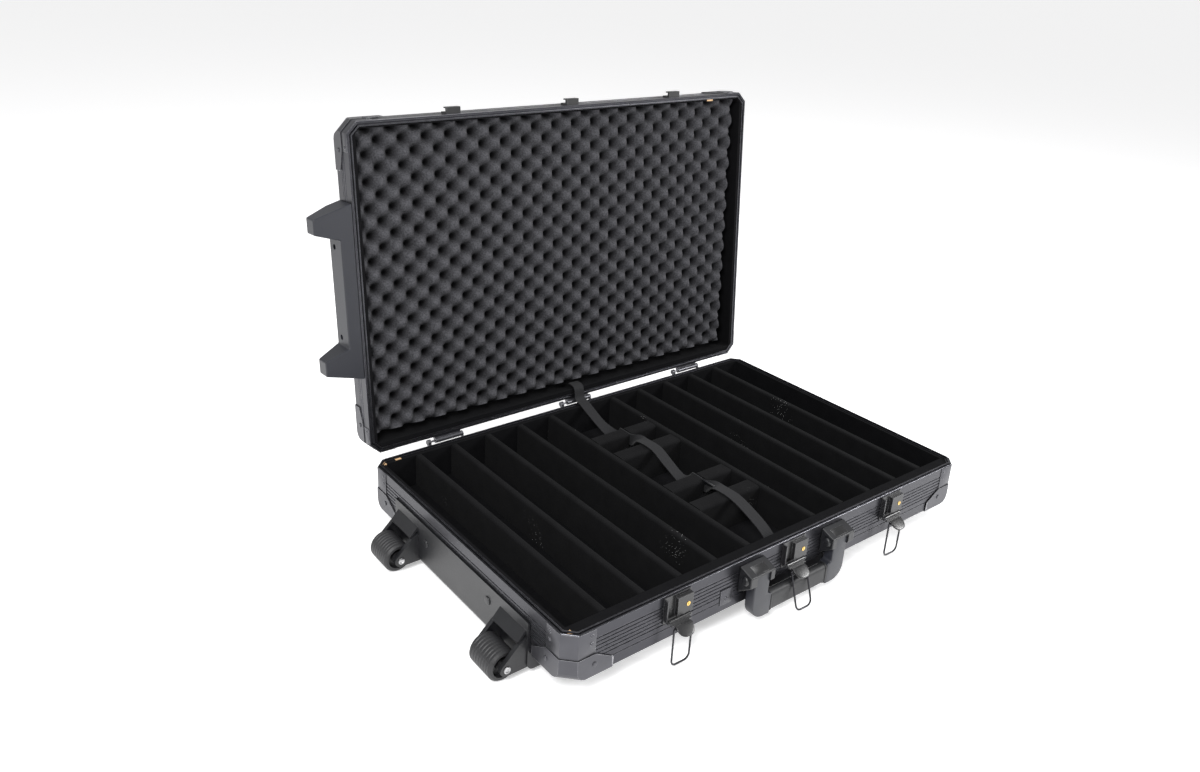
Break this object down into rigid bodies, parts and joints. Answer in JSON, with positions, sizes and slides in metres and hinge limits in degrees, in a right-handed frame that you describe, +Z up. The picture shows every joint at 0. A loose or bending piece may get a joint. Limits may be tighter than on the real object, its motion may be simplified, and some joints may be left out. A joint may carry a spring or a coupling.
{
  "type": "cue case",
  "caption": "Wheeled hard case, hinged open: slotted felt base with cross blocks and strap, foam-lined lid, side latches, carry handle, corner caps, stand bar and pull handle",
  "frame": {"origin": "on the floor under the middle of the base, at the centre of the flat underside of the skid housing", "axes": "X runs along the hinge line with the wheels at -X, Y runs from the carry handle at -Y to the hinges at +Y, Z is up"},
  "size_m": [0.8088, 0.5873, 0.5972],
  "materials": {
    "anodised_aluminium": "ribbed black anodised extrusion",
    "lining_felt": "thin board lined with black felt",
    "divider_felt": "light board wrapped in black felt",
    "foam": "open-cell charcoal foam",
    "black_steel": "black coated pressed steel",
    "black_plastic": "moulded, satin",
    "slate_plastic": "moulded, blue-grey satin",
    "brass": "turned",
    "bright_steel": "plated",
    "tyre_rubber": "ribbed tread",
    "webbing": "woven tape"
  },
  "bodies": {
    "base": {"base_frame": "anodised_aluminium", "base_tray": "lining_felt", "divider_1": "divider_felt", "divider_2": "divider_felt", "divider_3": "divider_felt", "divider_4": "divider_felt", "divider_5": "divider_felt", "divider_6": "divider_felt", "divider_7": "divider_felt", "divider_8": "divider_felt", "divider_9": "divider_felt", "divider_10": "divider_felt", "cross_block_1": "divider_felt", "cross_block_2": "divider_felt", "cross_block_3": "divider_felt", "cross_block_4": "divider_felt", "base_corner_1": "black_steel", "base_corner_2": "black_steel", "base_corner_3": "black_steel", "base_corner_4": "black_steel", "strap": "webbing", "hinge_leaf_1": "black_steel", "hinge_leaf_2": "black_steel", "hinge_leaf_3": "black_steel", "latch_plate_1": "black_steel", "latch_lock_1": "brass", "latch_plate_2": "black_steel", "latch_lock_2": "brass", "latch_plate_3": "black_steel", "latch_lock_3": "brass", "handle_mount_1": "black_plastic", "handle_mount_2": "black_plastic", "wheel_carrier": "black_plastic", "axle_1": "bright_steel", "axle_2": "bright_steel", "skid_housing": "black_plastic"},
    "lid": {"lid_frame": "anodised_aluminium", "lid_tray": "lining_felt", "lid_foam": "foam", "lid_corner_1": "black_steel", "lid_corner_2": "black_steel", "lid_corner_3": "black_steel", "lid_corner_4": "black_steel", "hinge_barrel_1": "black_steel", "hinge_barrel_2": "black_steel", "hinge_barrel_3": "black_steel", "keeper_1": "black_steel", "keeper_2": "black_steel", "keeper_3": "black_steel", "stand_bar": "slate_plastic"},
    "lever_1": {"latch_lever_1": "black_steel"},
    "lever_2": {"latch_lever_2": "black_steel"},
    "lever_3": {"latch_lever_3": "black_steel"},
    "bail_1": {"latch_bail_1": "black_steel"},
    "bail_3": {"latch_bail_3": "black_steel"},
    "handle": {"handle_bow": "slate_plastic"},
    "wheel_front": {"wheel_1": "tyre_rubber"},
    "wheel_rear": {"wheel_2": "tyre_rubber"},
    "pull": {"pull_bow": "black_plastic"}
  },
  "joints": [
    {"name": "lid_hinge", "type": "hinge", "parent": "base", "child": "lid", "pos_m": [0, 0.247, 0.1018], "axis": [1, 0, 0], "range_deg": [0, 94.5], "deforming": ["strap"]},
    {"name": "lever_1", "type": "hinge", "parent": "base", "child": "lever_1", "pos_m": [-0.21, -0.2465, 0.064], "axis": [-1, 0, 0], "range_deg": [0, 95]},
    {"name": "lever_2", "type": "hinge", "parent": "base", "child": "lever_2", "pos_m": [0, -0.2465, 0.064], "axis": [-1, 0, 0], "range_deg": [0, 95]},
    {"name": "lever_3", "type": "hinge", "parent": "base", "child": "lever_3", "pos_m": [0.21, -0.2465, 0.064], "axis": [-1, 0, 0], "range_deg": [0, 95]},
    {"name": "bail_1", "type": "hinge", "parent": "lever_1", "child": "bail_1", "pos_m": [-0.21, -0.25469, 0.05826], "axis": [1, 0, 0], "range_deg": [-172, 10]},
    {"name": "bail_3", "type": "hinge", "parent": "lever_3", "child": "bail_3", "pos_m": [0.21, -0.25469, 0.05826], "axis": [1, 0, 0], "range_deg": [-172, 10]},
    {"name": "handle", "type": "hinge", "parent": "base", "child": "handle", "pos_m": [0, -0.252, 0.076], "axis": [-1, 0, 0], "range_deg": [0, 90]},
    {"name": "wheel_front", "type": "hinge", "parent": "base", "child": "wheel_front", "pos_m": [-0.4054, -0.134, 0.021], "axis": [0, 1, 0], "continuous": true},
    {"name": "wheel_rear", "type": "hinge", "parent": "base", "child": "wheel_rear", "pos_m": [-0.4054, 0.13, 0.021], "axis": [0, 1, 0], "continuous": true},
    {"name": "pull", "type": "slide", "parent": "base", "child": "pull", "axis": [1, 0, 0], "range_m": [0, 0.3]}
  ]
}
